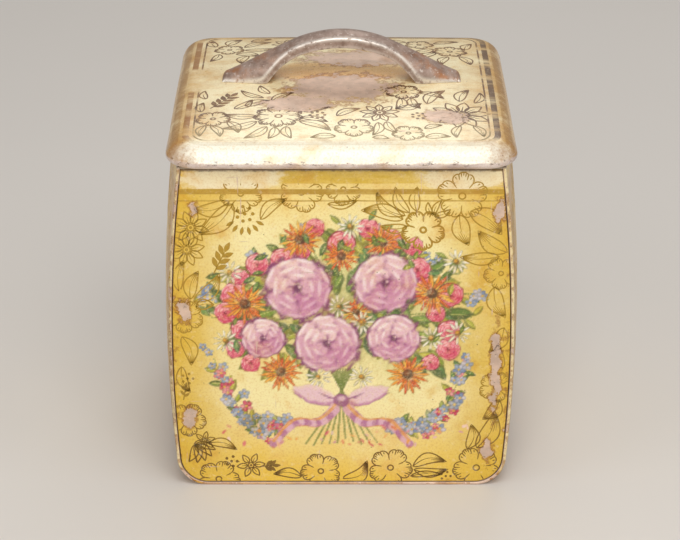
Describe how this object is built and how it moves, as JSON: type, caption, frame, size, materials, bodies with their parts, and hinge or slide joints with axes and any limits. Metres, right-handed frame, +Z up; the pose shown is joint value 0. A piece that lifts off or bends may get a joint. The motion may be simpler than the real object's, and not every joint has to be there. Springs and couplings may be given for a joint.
{
  "type": "bobbin box",
  "caption": "Square tinplate box with bowed sides, a shallow crowned lid hinged at the back and an arched strap handle, for bobbins and sewing notions.",
  "frame": {"origin": "middle of the flat base, on the surface it stands on", "axes": "+Z up, the decorated front faces -Y, the lid's hinge runs along X at the back (+Y)"},
  "size_m": [0.1264, 0.118, 0.1495],
  "materials": {
    "printed_tin": "worn varnished lithograph on tinplate",
    "bare_tin": "dull bare tinplate",
    "handle_tin": "worn lacquered tinplate"
  },
  "bodies": {
    "box": {"side_and_base_band": "printed_tin", "front_panel": "printed_tin", "back_panel": "printed_tin", "neck_ring": "bare_tin", "hinge_tab_left": "bare_tin", "hinge_tab_right": "bare_tin"},
    "lid": {"lid_shell": "printed_tin", "lid_rim_wire": "bare_tin", "handle_strap": "handle_tin"}
  },
  "joints": [
    {"name": "lid_hinge", "type": "hinge", "parent": "box", "child": "lid", "pos_m": [0, 0.05726, 0.12345], "axis": [-1, 0, 0], "range_deg": [0, 110]}
  ]
}
